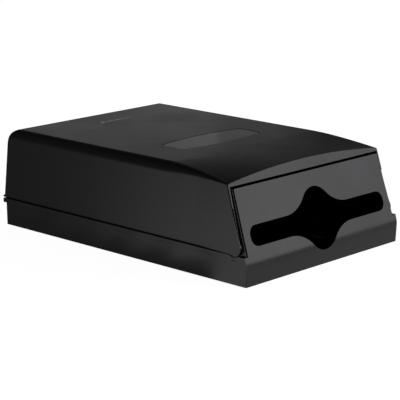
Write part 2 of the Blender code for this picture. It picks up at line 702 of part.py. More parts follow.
def lock_plug(material):
    plug = rod("lock_plug", "y", LOCK_CENTRE, PLUG_RADIUS, PLUG_INNER_Y, lock_face_y() + 0.2)
    keyway = box("keyway", (-3.2, 3.2), (lock_face_y() - 9.0, lock_face_y() + OVERRUN), (LOCK_Z - 0.6, LOCK_Z + 0.6))
    cut(plug, keyway)
    cut(plug, rod("tapped_hole", "y", LOCK_CENTRE, CAM_SCREW_RADIUS + GAP, PLUG_INNER_Y - OVERRUN,
                  PLUG_INNER_Y + CAM_SCREW_DEPTH + GAP, 12))
    return finish(plug, material, LOCK_PIVOT)


def lock_cam(material):
    """A flat arm: it points along +X under the keeper's tab when locked."""
    half = CAM_WIDTH / 2
    outline = arc(0.0, LOCK_Z, half, math.pi / 2, 3 * math.pi / 2, 10)
    outline += arc(CAM_REACH - 3.0, LOCK_Z - half + 3.0, 3.0, -math.pi / 2, 0.0, 4)
    outline += arc(CAM_REACH - 3.0, LOCK_Z + half - 3.0, 3.0, 0.0, math.pi / 2, 4)
    near = PLUG_INNER_Y - GAP - CAM_THICKNESS
    cam = prism("lock_cam", outline, "y", near, near + CAM_THICKNESS)
    cut(cam, rod("hole", "y", LOCK_CENTRE, CAM_SCREW_RADIUS + GAP, near - OVERRUN, near + CAM_THICKNESS + OVERRUN, 12))
    return finish(cam, material, LOCK_PIVOT)


def cam_screw(material):
    seat = PLUG_INNER_Y - 2 * GAP - CAM_THICKNESS
    head = rod("cam_screw", "y", LOCK_CENTRE, 3.2, seat - 1.8, seat, 16)
    shank = rod("shank", "y", LOCK_CENTRE, CAM_SCREW_RADIUS, seat - 1.0, PLUG_INNER_Y + CAM_SCREW_DEPTH, 12)
    return finish(fuse(head, shank), material, LOCK_PIVOT)


# ---- lock keeper ----------------------------------------------------------------------------------------------------
def lock_keeper(material):
    """A bent bracket on the tray: its top tab lies just above the locked cam."""
    foot_z = BOSS_TOP_Z + GAP
    tab_z = LOCK_Z + CAM_WIDTH / 2 + 0.6
    near_x = KEEPER_POST_X
    far_x = KEEPER_POST_X + KEEPER_POST_WIDTH
    outline = [
        (KEEPER_FOOT_XS[0], foot_z), (KEEPER_FOOT_XS[1], foot_z),
        (KEEPER_FOOT_XS[1], foot_z + KEEPER_THICKNESS), (far_x, foot_z + KEEPER_THICKNESS),
        (far_x, tab_z + KEEPER_THICKNESS), (KEEPER_TAB_X, tab_z + KEEPER_THICKNESS), (KEEPER_TAB_X, tab_z),
        (near_x, tab_z), (near_x, foot_z + KEEPER_THICKNESS), (KEEPER_FOOT_XS[0], foot_z + KEEPER_THICKNESS),
    ]
    bracket = prism("lock_keeper", outline, "y", KEEPER_NEAR_Y, KEEPER_FAR_Y)
    middle = (KEEPER_NEAR_Y + KEEPER_FAR_Y) / 2
    for x in KEEPER_SCREW_XS:
        cut(bracket, rod("hole", "z", (x, middle), SCREW_HOLE_RADIUS, foot_z - OVERRUN,
                         foot_z + KEEPER_THICKNESS + OVERRUN, 12))
    return finish(bracket, material)


def keeper_screws(material):
    seat = BOSS_TOP_Z + GAP + KEEPER_THICKNESS + GAP
    middle = (KEEPER_NEAR_Y + KEEPER_FAR_Y) / 2
    for number, x in enumerate(KEEPER_SCREW_XS, 1):
        finish(screw(f"keeper_screw_{number}", "z", (x, middle), seat, TRAY_FLOOR, -1), material)


# ---- side guide rails --------------------------------------------------------------------------------------------------
def guide_rail(name, side, material):
    """An L-section rail that keeps the napkin stack centred on the slot."""
    foot_z = BOSS_TOP_Z + GAP
    outer = RAIL_FACE_X + RAIL_THICKNESS
    outline = [
        (side * RAIL_FOOT_X, foot_z), (side * outer, foot_z), (side * outer, RAIL_TOP_Z),
        (side * RAIL_FACE_X, RAIL_TOP_Z), (side * RAIL_FACE_X, foot_z + 2.0), (side * RAIL_FOOT_X, foot_z + 2.0),
    ]
    rail = prism(name, outline, "y", RAIL_NEAR_Y, RAIL_FAR_Y)
    for y in RAIL_SCREW_YS:
        cut(rail, rod("hole", "z", (side * RAIL_SCREW_X, y), SCREW_HOLE_RADIUS, foot_z - OVERRUN,
                      foot_z + 2.0 + OVERRUN, 12))
    return finish(rail, material)


def guide_rail_screws(side_name, side, material):
    seat = BOSS_TOP_Z + GAP + 2.0 + GAP
    for number, y in enumerate(RAIL_SCREW_YS, 1):
        piece = screw(f"rail_screw_{side_name}_{number}", "z", (side * RAIL_SCREW_X, y), seat, TRAY_FLOOR, -1)
        finish(piece, material)


# ---- assembly ----------------------------------------------------------------------------------------------------------
def build():
    for thing in list(bpy.data.objects):
        bpy.data.objects.remove(thing)
    gloss_black = make_material("gloss_black_abs", (0.012, 0.012, 0.013), 0.22)
    inner_black = make_material("matte_black_abs", (0.02, 0.02, 0.021), 0.5)
    smoke = make_material("smoked_window", (0.05, 0.05, 0.055), 0.12)
    zinc = make_material("zinc_steel", (0.55, 0.56, 0.58), 0.35, 1.0)
    chrome = make_material("chrome", (0.7, 0.7, 0.72), 0.12, 1.0)

    base_tray(gloss_black)
    cover_shell(gloss_black)
    level_window(smoke)
    window_retainer(inner_black)
    window_retainer_screws(zinc)
    lock_body(chrome)
    lock_washer(zinc)
    lock_nut(zinc)
    lock_plug(chrome)
    lock_cam(zinc)
    cam_screw(zinc)
    lock_keeper(zinc)
    keeper_screws(zinc)
    for side_name, side in (("left", -1), ("right", 1)):
        guide_rail(f"guide_rail_{side_name}", side, inner_black)
        guide_rail_screws(side_name, side, zinc)
        hinge_pin(f"hinge_pin_{side_name}", side, zinc)


build()
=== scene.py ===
"""Looks for the napkin dispenser: fine meshes with rounded edges for the two mouldings, finished
materials for every piece, a plain floor, soft studio light and the camera.

Lengths are in millimetres in the CAD's own frame until to_metres. The two mouldings repeat the CAD's
formulas with more points, so they stay on its surfaces and its box.
"""

import json
import math

import bpy
import bmesh
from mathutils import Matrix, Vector


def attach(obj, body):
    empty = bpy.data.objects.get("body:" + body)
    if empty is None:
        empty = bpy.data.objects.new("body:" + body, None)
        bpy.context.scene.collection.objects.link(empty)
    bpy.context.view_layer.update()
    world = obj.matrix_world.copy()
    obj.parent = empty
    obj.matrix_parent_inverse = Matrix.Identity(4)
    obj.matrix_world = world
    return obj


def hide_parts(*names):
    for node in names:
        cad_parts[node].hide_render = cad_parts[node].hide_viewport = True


MM = 0.001
SHIFT_Y = 0.5          # the CAD's formulas, moved to its centred frame
OVERRUN = 1.0

# ---- back tray ----------------------------------------------------------------------------------
FRONT_Y = -189.0
CREASE_Y = -190.0
TRAY_LENGTH = 370.0
TRAY_FOOT_HALF = 124.3
TRAY_RIM_HALF = 124.9
TRAY_HEIGHT = 30.4
TRAY_FLOOR = 3.0
TRAY_WALL = 2.5
LEDGE_INNER_HALF = 119.3
LEDGE_THICKNESS = 2.5
BACK_LIP_REACH = 3.7
BACK_LIP_HEIGHT = 4.8
BEND_RADIUS = 34.0     # soft bend between the front wall and the slot panel
SLOPE_STRIPS = 42
TRAY_CORNER_RADIUS = 1.3
KINK_Z = 25.0
KINK_HALF = 124.55
DASH_DEPTH = 0.9       # short dark slit in the rim under each hinge lobe
DASH_YS = (-176.0, -170.0)
DASH_ZS = (25.4, 26.4)

PANEL_FOOT_Z = 21.0
PANEL_TILT = math.radians(18.57)
FRONT_LEAN = math.atan((FRONT_Y - CREASE_Y) / PANEL_FOOT_Z)
PANEL_TOP_S = 79.9
PANEL_THICKNESS = 2.5
PANEL_HALF = 117.0
CHEEK_INNER = 115.6
CHEEK_OUTER = 118.3
CHEEK_RECESS = 1.2
GROOVE_INNER = 116.7
GROOVE_OUTER = 117.5
GROOVE_DEPTH = 1.8
GROOVE_FOOT_S = 10.0
WIDENING = 0.0003
WIDENING_Z = 97.0

SLOT_MID_S = 29.0
SLOT_HALF_LENGTH = 109.0
SLOT_HALF_HEIGHT = 11.0
SLOT_END_RADIUS = 10.0
BULGE_RADIUS = 23.5
BULGE_CENTRE = 10.5
BULGE_FLANK_X = 50.0

# ---- cover ----------------------------------------------------------------------------------------
COVER_TOP = 111.18
COVER_WALL = 2.4
COVER_RIM_Z = 30.7
COVER_RIM_HALF = 121.7
COVER_DRAFT = 0.0212
FLARE = 1.8
FLARE_GROWTH = 0.008
FLARE_START_Y = -118.0
FLARE_END_Y = -180.0
COVER_LIP_REACH = 2.6
COVER_LIP_HEIGHT = 2.6
COVER_BACK_Y = 186.4
BACK_LEAN = 0.095
BACK_ROUND_DEPTH = 15.0
BACK_ROUND_HEIGHT = 20.0
BEND_Y = -74.0
FRONT_TOP_Y = -160.3
RIDGE_HALF = 111.15
RIDGE_WIDENING = 9.05
RIDGE_DROP = 9.2
CROWN_DROP = 2.0
SIDE_FILLET = 11.6
FRONT_FILLET = 1.2
FRAME_RECESS = 1.85
FRAME_INNER_HALF = 119.9
EDGE_GROOVE_DEPTHS = (2.5, 3.8)   # fine groove down the outside of the cover just behind its front edge
EDGE_GROOVE_CUT = 1.2
FRAME_FOOT_S = 82.7

PIVOT_Y = FRONT_Y + 17.0
PIVOT_Z = 38.0
LOBE_RADIUS = 8.6
LOBE_RELIEF = 9.4
LOBE_FRONT_ANGLE = math.radians(40.0)
PIN_HOLE_RADIUS = 2.3
PIN_HOLE_END = 122.9
COVER_BOSS_RADIUS = 5.5
PIVOT_BOSS_RADIUS = 6.0
PIVOT_BOSS_INNER = 112.7

WINDOW_HALF = 62.5
WINDOW_BACK_Y = -3.3
WINDOW_BACK_SAG = 7.0
WINDOW_FRONT_Y = -47.5
WINDOW_FRONT_SAG = 5.0
WINDOW_BACK_RADIUS = 3.0
WINDOW_FRONT_RADIUS = 8.0
WINDOW_GAP = 0.7
WINDOW_RECESS = 0.25
WINDOW_FLANGE = 3.5
FLANGE_Z = (106.5, 108.5)
WINDOW_SCREW_PLACES = [(x, y) for x in (-70.0, 70.0) for y in (-38.0, -14.0)]

LOCK_Z = 60.0
LOCK_PAD_RADIUS = 13.0
LOCK_PAD_OUTER_Y = 185.0
LOCK_PAD_INNER_Y = 179.5
LOCK_HOLE_RADIUS = 8.3

KEYHOLE_X = 70.0
KEYHOLE_Y = 140.0
KEYHOLE_HEAD_RADIUS = 4.5
KEYHOLE_SLOT_RADIUS = 2.4
KEYHOLE_SLOT_LENGTH = 11.0
LOWER_SLOT_Y = -120.0
RIB_X = 38.0
RIB_HALF_LENGTH = 145.0
RIB_WIDTH = 2.0
RIB_HEIGHT = 2.5
BOSS_TOP_Z = 8.0
BOSS_RADIUS = 4.0
SCREW_HOLE_RADIUS = 1.65
RAIL_SCREW_X = 107.5
RAIL_SCREW_YS = (-90.0, 0.0, 90.0)
KEEPER_SCREW_XS = (25.0, 46.0)
KEEPER_SCREW_Y = 167.5

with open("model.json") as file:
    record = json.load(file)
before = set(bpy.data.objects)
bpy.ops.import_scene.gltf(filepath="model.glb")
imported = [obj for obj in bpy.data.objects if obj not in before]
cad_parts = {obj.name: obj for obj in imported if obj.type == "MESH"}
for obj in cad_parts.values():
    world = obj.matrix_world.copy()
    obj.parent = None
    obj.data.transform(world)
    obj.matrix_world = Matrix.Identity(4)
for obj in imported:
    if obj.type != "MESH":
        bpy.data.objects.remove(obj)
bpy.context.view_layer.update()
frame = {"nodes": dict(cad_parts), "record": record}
nodes = frame["nodes"]


# ---- camera ---------------------------------------------------------------------------------------
def add_camera():
    azimuth = math.radians(-46.463)
    elevation = math.radians(13.771)
    distance = 1.846
    target = Vector((0.0, -0.0035, 0.040))
    back = Vector((
        math.sin(azimuth) * math.cos(elevation),
        -math.cos(azimuth) * math.cos(elevation),
        math.sin(elevation),
    ))
    data = bpy.data.cameras.new("camera")
    data.sensor_width = 36.0
    data.lens = 147.78
    data.shift_x = 0.00569
    data.shift_y = -0.00552
    camera = bpy.data.objects.new("camera", data)
    bpy.context.scene.collection.objects.link(camera)
    camera.location = target + back * distance
    camera.rotation_euler = (-back).to_track_quat("-Z", "Y").to_euler()
    bpy.context.scene.camera = camera


# ---- mesh building --------------------------------------------------------------------------------
def to_metres(point):
    return (point[0] * MM, (point[1] + SHIFT_Y) * MM, point[2] * MM)


def add_mesh(name, points, faces):
    mesh = bpy.data.meshes.new(name)
    mesh.from_pydata([to_metres(point) for point in points], [], faces)
    bm = bmesh.new()
    bm.from_mesh(mesh)
    bmesh.ops.recalc_face_normals(bm, faces=bm.faces)
    bm.to_mesh(mesh)
    bm.free()
    piece = bpy.data.objects.new(name, mesh)
    bpy.context.scene.collection.objects.link(piece)
    return piece


def loft(name, rings):
    count = len(rings[0])
    points = [point for ring in rings for point in ring]
    faces = [list(range(count))]
    for level in range(len(rings) - 1):
        low = level * count
        high = low + count
        for i in range(count):
            j = (i + 1) % count
            faces.append([low + i, low + j, high + j, high + i])
    last = (len(rings) - 1) * count
    faces.append([last + i for i in range(count)])
    return add_mesh(name, points, faces)


def prism(name, outline, axis, low, high):
    """An outline drawn in the other two axes, in X, Y, Z order, extruded along axis."""
    def place(a, b, c):
        if axis == "x":
            return (c, a, b)
        if axis == "y":
            return (a, c, b)
        return (a, b, c)
    return loft(name, [[place(a, b, level) for a, b in outline] for level in (low, high)])


def box(name, x_range, y_range, z_range):
    outline = [(x_range[0], y_range[0]), (x_range[1], y_range[0]), (x_range[1], y_range[1]), (x_range[0], y_range[1])]
    return prism(name, outline, "z", z_range[0], z_range[1])


def arc(centre_a, centre_b, radius, start, end, steps):
    angles = [start + (end - start) * i / steps for i in range(steps + 1)]
    return [(centre_a + radius * math.cos(t), centre_b + radius * math.sin(t)) for t in angles]


def rod(name, axis, centre, radius, low, high, count=40):
    outline = arc(centre[0], centre[1], radius, 0.0, 2 * math.pi, count)[:-1]
    return prism(name, outline, axis, low, high)


def rounded(corners, steps=8):
    """An outline from (a, b, radius) corners, each turned into an arc of that radius."""
    outline = []
    for i, (a, b, radius) in enumerate(corners):
        here = Vector((a, b))
        before = (Vector(corners[i - 1][:2]) - here).normalized()
        after = (Vector(corners[(i + 1) % len(corners)][:2]) - here).normalized()
        if radius <= 0.0:
            outline.append((a, b))
            continue
        half = before.angle(after) / 2
        start = here + before * (radius / math.tan(half))
        end = here + after * (radius / math.tan(half))
        centre = here + (before + after).normalized() * (radius / math.sin(half))
        for k in range(steps + 1):
            spoke = (start - centre).lerp(end - centre, k / steps).normalized()
            outline.append(tuple(centre + spoke * radius))
    return outline


def freeze(piece):
    """Apply the piece's modifiers."""
    graph = bpy.context.evaluated_depsgraph_get()
    result = bpy.data.meshes.new_from_object(piece.evaluated_get(graph))
    piece.modifiers.clear()
    piece.data = result
    return piece


def combine(target, operation, *tools):
    for tool in tools:
        modifier = target.modifiers.new("combine", "BOOLEAN")
        modifier.operation = operation
        modifier.solver = "EXACT"
        modifier.object = tool
        freeze(target)
        bpy.data.objects.remove(tool)
    return target


def cut(target, *tools):
    return combine(target, "DIFFERENCE", *tools)


def fuse(target, *tools):
    return combine(target, "UNION", *tools)


def soften(piece, width, angle=30.0, segments=3, merge=True):
    """Round the piece's edges, as a mould does, and shade it smooth with its flats kept flat."""
    bm = bmesh.new()
    bm.from_mesh(piece.data)
    bmesh.ops.remove_doubles(bm, verts=bm.verts, dist=0.00002)
    if merge:
        bmesh.ops.dissolve_limit(bm, angle_limit=math.radians(0.3), verts=bm.verts, edges=bm.edges)
    bm.to_mesh(piece.data)
    bm.free()
    piece.data.shade_smooth()
    bevel = piece.modifiers.new("edge", "BEVEL")
    bevel.width = width * MM
    bevel.segments = segments
    bevel.limit_method = "ANGLE"
    bevel.angle_limit = math.radians(angle)
    bevel.miter_outer = "MITER_ARC"
    flats = piece.modifiers.new("flats", "WEIGHTED_NORMAL")
    flats.mode = "FACE_AREA"
    flats.weight = 60
    return freeze(piece)


# ---- shared geometry --------------------------------------------------------------------------------
def on_panel(s, depth):
    """(y, z) of a point s up the slot panel's slope and depth behind its outer face."""
    y = CREASE_Y + s * math.sin(PANEL_TILT) + depth * math.cos(PANEL_TILT)
    z = PANEL_FOOT_Z + s * math.cos(PANEL_TILT) - depth * math.sin(PANEL_TILT)
    return (y, z)


def panel_at_height(z, depth):
    return CREASE_Y + (z - PANEL_FOOT_Z) * math.tan(PANEL_TILT) + depth / math.cos(PANEL_TILT)


def widening(z):
    return 1.0 + WIDENING * (WIDENING_Z - z)


def widen(piece):
    for vertex in piece.data.vertices:
        vertex.co.x *= widening(vertex.co.z / MM)
    return piece


# ---- back tray ----------------------------------------------------------------------------------------
def bend_arc(steps):
    """The soft bend from the leaning front wall to the slot panel, as (y, z) points."""
    turn = PANEL_TILT + FRONT_LEAN
    reach = BEND_RADIUS * math.tan(turn / 2)
    start = (CREASE_Y + reach * math.sin(FRONT_LEAN), PANEL_FOOT_Z - reach * math.cos(FRONT_LEAN))
    centre = (start[0] + BEND_RADIUS * math.cos(FRONT_LEAN), start[1] + BEND_RADIUS * math.sin(FRONT_LEAN))
    return arc(centre[0], centre[1], BEND_RADIUS, math.pi + FRONT_LEAN, math.pi - PANEL_TILT, steps)


def tray_block():
    """The tray's outer shape, with slightly rounded upright corners and a faint kink near the rim."""
    def rectangle(half, front_y, back_y, z):
        corners = [(-half, front_y), (half, front_y), (half, back_y), (-half, back_y)]
        return [(x, y, z) for x, y in rounded([(x, y, TRAY_CORNER_RADIUS) for x, y in corners], 4)]
    foot_back = FRONT_Y + TRAY_LENGTH
    rim_back = foot_back + TRAY_RIM_HALF - TRAY_FOOT_HALF
    rim_front = FRONT_Y + (CREASE_Y - FRONT_Y) * TRAY_HEIGHT / PANEL_FOOT_Z
    block = loft("base_tray_looks", [
        rectangle(TRAY_FOOT_HALF, FRONT_Y, foot_back, 0.0),
        rectangle(KINK_HALF, FRONT_Y + (CREASE_Y - FRONT_Y) * KINK_Z / PANEL_FOOT_Z, foot_back + 0.2, KINK_Z),
        rectangle(TRAY_RIM_HALF, rim_front, rim_back, TRAY_HEIGHT),
    ])
    fuse(block, box(
        "lip", (-TRAY_RIM_HALF, TRAY_RIM_HALF), (rim_back - TRAY_WALL, rim_back + BACK_LIP_REACH),
        (TRAY_HEIGHT - BACK_LIP_HEIGHT, TRAY_HEIGHT),
    ))
    return block


def slope_cutter():
    """Everything in front of the soft bend and the slot panel, in short strips so that it shades evenly."""
    top_y, top_z = on_panel(PANEL_TOP_S + 5.0, 0.0)
    bend = bend_arc(12)
    outline = bend + [(top_y, top_z), (CREASE_Y - 8.0, top_z), (CREASE_Y - 8.0, bend[0][1])]
    half = TRAY_RIM_HALF + OVERRUN
    return loft("slope", [[(half * (2 * k / SLOPE_STRIPS - 1), y, z) for y, z in outline]
                          for k in range(SLOPE_STRIPS + 1)])


def tray_hollow():
    ceiling = TRAY_HEIGHT - LEDGE_THICKNESS
    back_y = FRONT_Y + TRAY_LENGTH - TRAY_WALL
    half = TRAY_FOOT_HALF - TRAY_WALL
    pocket = prism("pocket", [
        (FRONT_Y + TRAY_WALL, TRAY_FLOOR), (back_y, TRAY_FLOOR), (back_y, ceiling),
        (panel_at_height(ceiling, PANEL_THICKNESS), ceiling),
        (FRONT_Y + TRAY_WALL, PANEL_FOOT_Z - 0.5),
    ], "x", -half, half)
    low = ceiling - OVERRUN
    high = TRAY_HEIGHT + OVERRUN
    mouth = prism("mouth", [
        (panel_at_height(low, PANEL_THICKNESS), low), (back_y, low), (back_y, high),
        (panel_at_height(high, PANEL_THICKNESS), high),
    ], "x", -LEDGE_INNER_HALF, LEDGE_INNER_HALF)
    return pocket, mouth


def slot_panel():
    """The panel, left proud of its face for slope_cutter to trim."""
    return widen(prism("panel", [
        on_panel(7.0, -2.0), on_panel(PANEL_TOP_S, -2.0),
        on_panel(PANEL_TOP_S, PANEL_THICKNESS), on_panel(5.0, PANEL_THICKNESS),
    ], "x", -PANEL_HALF, PANEL_HALF))


def cheek(side):
    outline = [
        on_panel(7.0, CHEEK_RECESS), on_panel(PANEL_TOP_S, CHEEK_RECESS), on_panel(PANEL_TOP_S - 1.0, 6.0),
        (PIVOT_Y + 16.0, PIVOT_Z + 10.0), (PIVOT_Y + 26.0, TRAY_FLOOR - OVERRUN),
        (FRONT_Y + TRAY_WALL / 2, TRAY_FLOOR - OVERRUN), (FRONT_Y + TRAY_WALL / 2, PANEL_FOOT_Z - 2.0),
    ]
    xs = sorted((side * CHEEK_INNER, side * CHEEK_OUTER))
    plate = widen(prism("cheek", outline, "x", xs[0], xs[1]))
    xs = sorted((side * PIVOT_BOSS_INNER, side * (CHEEK_INNER * widening(PIVOT_Z) + 1.0)))
    return fuse(plate, rod("boss", "x", (PIVOT_Y, PIVOT_Z), PIVOT_BOSS_RADIUS, xs[0], xs[1]))


def edge_groove(side):
    xs = sorted((side * GROOVE_INNER, side * GROOVE_OUTER))
    return widen(prism("groove", [
        on_panel(GROOVE_FOOT_S, -OVERRUN), on_panel(PANEL_TOP_S + OVERRUN, -OVERRUN),
        on_panel(PANEL_TOP_S + OVERRUN, GROOVE_DEPTH), on_panel(GROOVE_FOOT_S, GROOVE_DEPTH),
    ], "x", xs[0], xs[1]))


def slot_outline():
    """Long slot with a round bulge up and down at its middle, as (x, s) on the panel."""
    rise = SLOT_HALF_HEIGHT - BULGE_CENTRE
    flank_radius = (BULGE_FLANK_X ** 2 + rise ** 2 - BULGE_RADIUS ** 2) / (2 * (BULGE_RADIUS - rise))
    flank_height = SLOT_HALF_HEIGHT + flank_radius
    lean = math.atan2(flank_height - BULGE_CENTRE, BULGE_FLANK_X)
    end_x = SLOT_HALF_LENGTH - SLOT_END_RADIUS
    end_s = SLOT_HALF_HEIGHT - SLOT_END_RADIUS
    quarter = arc(end_x, end_s, SLOT_END_RADIUS, 0.0, math.pi / 2, 12)
    quarter += arc(BULGE_FLANK_X, flank_height, flank_radius, -math.pi / 2, lean - math.pi, 18)
    quarter += arc(0.0, BULGE_CENTRE, BULGE_RADIUS, lean, math.pi / 2, 12)[1:]
    half = quarter + [(-x, s) for x, s in reversed(quarter[:-1])]
    lower = [(x, -s) for x, s in reversed(half)]
    return [(x, SLOT_MID_S + s) for x, s in half + lower]


def slot_cutter():
    return loft("slot", [[(x, *on_panel(s, depth)) for x, s in slot_outline()] for depth in (-3.0, PANEL_THICKNESS + 3.0)])


def screw_openings(x):
    """The keyhole at the far end and the plain slot at the near end, for two wall screws."""
    low = -OVERRUN
    high = TRAY_FLOOR + OVERRUN
    head = rod("head", "z", (x, KEYHOLE_Y), KEYHOLE_HEAD_RADIUS, low, high)
    neck = arc(x, KEYHOLE_Y + KEYHOLE_SLOT_LENGTH, KEYHOLE_SLOT_RADIUS, 0.0, math.pi, 12)
    neck += [(x - KEYHOLE_SLOT_RADIUS, KEYHOLE_Y), (x + KEYHOLE_SLOT_RADIUS, KEYHOLE_Y)]
    half = KEYHOLE_SLOT_LENGTH / 2
    slot = arc(x, LOWER_SLOT_Y + half, KEYHOLE_SLOT_RADIUS, 0.0, math.pi, 12)
    slot += arc(x, LOWER_SLOT_Y - half, KEYHOLE_SLOT_RADIUS, math.pi, 2 * math.pi, 12)
    return fuse(head, prism("neck", neck, "z", low - 0.5, high + 0.5)), prism("lower", slot, "z", low, high)


def base_tray_looks():
    tray = tray_block()
    cut(tray, *tray_hollow())
    fuse(tray, slot_panel())
    cut(tray, slope_cutter())
    for side in (-1, 1):
        fuse(tray, cheek(side))
        xs = sorted((side * RIB_X, side * (RIB_X + RIB_WIDTH)))
        fuse(tray, box("rib", xs, (-RIB_HALF_LENGTH, RIB_HALF_LENGTH), (TRAY_FLOOR - OVERRUN, TRAY_FLOOR + RIB_HEIGHT)))
    places = [(side * RAIL_SCREW_X, y) for side in (-1, 1) for y in RAIL_SCREW_YS]
    places += [(x, KEEPER_SCREW_Y) for x in KEEPER_SCREW_XS]
    for place in places:
        fuse(tray, rod("boss", "z", place, BOSS_RADIUS, TRAY_FLOOR - OVERRUN, BOSS_TOP_Z, 24))
        cut(tray, rod("pilot", "z", place, SCREW_HOLE_RADIUS, TRAY_FLOOR - 0.5, BOSS_TOP_Z + OVERRUN, 16))
    relief_x = CHEEK_OUTER * widening(PIVOT_Z - LOBE_RELIEF) + 0.02
    for side in (-1, 1):
        cut(tray, edge_groove(side))
        xs = sorted((side * relief_x, side * (TRAY_RIM_HALF + OVERRUN)))
        cut(tray, rod("relief", "x", (PIVOT_Y, PIVOT_Z), LOBE_RELIEF, xs[0], xs[1], 72))
        xs = sorted((side * (PIVOT_BOSS_INNER - OVERRUN), side * (relief_x + OVERRUN)))
        cut(tray, rod("pin_hole", "x", (PIVOT_Y, PIVOT_Z), PIN_HOLE_RADIUS, xs[0], xs[1]))
        xs = sorted((side * (TRAY_RIM_HALF - DASH_DEPTH), side * (TRAY_RIM_HALF + OVERRUN)))
        cut(tray, box("dash", xs, DASH_YS, DASH_ZS))
        cut(tray, *screw_openings(side * KEYHOLE_X))
    cut(tray, slot_cutter())
    return soften(tray, 0.3, merge=False)


# ---- cover ----------------------------------------------------------------------------------------------
def side_wall_x(y, z):
    spread = min(max((FLARE_START_Y - y) / (FLARE_START_Y - FLARE_END_Y), 0.0), 1.0)
    flare = FLARE * spread * (1.0 + FLARE_GROWTH * (WIDENING_Z - z))
    return COVER_RIM_HALF + flare - COVER_DRAFT * (z - COVER_RIM_Z)


def cover_section(y, inset, low_z, fillet_steps=12, crown_steps=14):
    """Closed outline of the cover at station y, inset from its outer face, as (x, y, z) points."""
    reach = min(max((BEND_Y - y) / (BEND_Y - FRONT_TOP_Y), 0.0), 1.03)
    ridge_z = COVER_TOP - RIDGE_DROP * reach ** 1.6 - inset
    crown_z = COVER_TOP - CROWN_DROP * reach ** 1.6 - inset
    fillet = SIDE_FILLET + (FRONT_FILLET - SIDE_FILLET) * reach
    fillet_z = min(ridge_z + inset - fillet, ridge_z - 0.6)
    wall_x = side_wall_x(y, fillet_z) - inset
    ridge_x = min(RIDGE_HALF + RIDGE_WIDENING * reach ** 1.35, wall_x - 0.6)
    right = [(side_wall_x(y, low_z) - inset, low_z)]
    for k in range(fillet_steps + 1):
        t = math.pi / 2 * k / fillet_steps
        right.append((ridge_x + (wall_x - ridge_x) * math.cos(t), fillet_z + (ridge_z - fillet_z) * math.sin(t)))
    for k in range(1, crown_steps):
        x = ridge_x * (1.0 - k / crown_steps)
        right.append((x, crown_z - (crown_z - ridge_z) * (x / ridge_x) ** 2))
    left = [(-x, z) for x, z in reversed(right)]
    return [(x, y, z) for x, z in right + [(0.0, crown_z)] + left]


def cover_stations(back_y, steps):
    bend = [BEND_Y + (FRONT_TOP_Y - BEND_Y) * k / steps for k in range(steps + 1)]
    return [FRONT_Y - 3.0, FLARE_END_Y, FRONT_TOP_Y - 4.0] + list(reversed(bend)) + [back_y]


def back_profile(inset, steps=14):
    start = math.atan(BACK_LEAN * BACK_ROUND_HEIGHT / BACK_ROUND_DEPTH)
    foot_z = COVER_RIM_Z + COVER_LIP_HEIGHT
    centre_z = COVER_TOP + 0.05 - BACK_ROUND_HEIGHT
    start_z = centre_z + BACK_ROUND_HEIGHT * math.sin(start)
    start_y = COVER_BACK_Y - (start_z - foot_z) * BACK_LEAN
    centre_y = start_y - BACK_ROUND_DEPTH * math.cos(start)
    points = [(COVER_BACK_Y - inset * math.hypot(1.0, BACK_LEAN), foot_z)]
    for k in range(steps + 1):
        t = start + (math.pi / 2 - start) * k / steps
        y = centre_y + (BACK_ROUND_DEPTH - inset) * math.cos(t)
        points.append((y, centre_z + (BACK_ROUND_HEIGHT - inset) * math.sin(t)))
    return points


def cover_side_profile():
    high = COVER_TOP + 5.0
    joint_z = on_panel(FRAME_FOOT_S - 1.0, FRAME_RECESS)[1]
    rear = back_profile(0.0)
    start = -math.asin((PIVOT_Z - COVER_RIM_Z) / LOBE_RADIUS)
    profile = arc(PIVOT_Y, PIVOT_Z, LOBE_RADIUS, start, -math.pi - LOBE_FRONT_ANGLE, 36)
    profile += [(panel_at_height(joint_z, FRAME_RECESS), joint_z), (panel_at_height(high, FRAME_RECESS), high)]
    profile += [(rear[-1][0], high)] + list(reversed(rear))
    lip_y = COVER_BACK_Y + COVER_LIP_REACH
    return profile + [(lip_y, COVER_RIM_Z + COVER_LIP_HEIGHT - 0.6), (lip_y, COVER_RIM_Z)]


def cover_cavity():
    inset = COVER_WALL
    cavity = loft("cavity", [
        cover_section(y, inset, COVER_RIM_Z - 15.0, 6, 6) for y in cover_stations(COVER_BACK_Y, 10)
    ])
    high = COVER_TOP + 5.0
    low = COVER_RIM_Z - 20.0
    rear = back_profile(inset)
    depth = FRAME_RECESS + COVER_WALL
    outline = [(panel_at_height(low, depth), low), (rear[0][0], low)] + rear
    outline += [(rear[-1][0], high), (panel_at_height(high, depth), high)]
    return combine(cavity, "INTERSECT", prism("limit", outline, "x", -TRAY_RIM_HALF, TRAY_RIM_HALF))


def front_opening():
    return widen(prism("front_opening", [
        on_panel(-20.0, -5.0), on_panel(FRAME_FOOT_S, -5.0), on_panel(FRAME_FOOT_S, 7.0), on_panel(-20.0, 7.0),
    ], "x", -FRAME_INNER_HALF, FRAME_INNER_HALF))


def front_edge_groove(side):
    """A fine upright groove in the outside of the side wall, just behind its front edge."""
    rings = []
    for z in (PIVOT_Z + 8.0, 70.0, 102.0):
        near, far = (panel_at_height(z, depth) for depth in EDGE_GROOVE_DEPTHS)
        outer = side_wall_x(near, z)
        xs = (side * (outer - EDGE_GROOVE_CUT), side * (outer + OVERRUN))
        rings.append([(xs[0], near, z), (xs[1], near, z), (xs[1], far, z), (xs[0], far, z)])
    return loft("edge_groove", rings)


def hinge_boss_x():
    return CHEEK_OUTER * widening(PIVOT_Z - COVER_BOSS_RADIUS) + 0.3


def pin_rod(name, side, radius):
    """A rod on the hinge axis, from just inside the cover's hinge boss to the end of its blind hole."""
    xs = sorted((side * (hinge_boss_x() - OVERRUN), side * PIN_HOLE_END))
    return rod(name, "x", (PIVOT_Y, PIVOT_Z), radius, xs[0], xs[1])


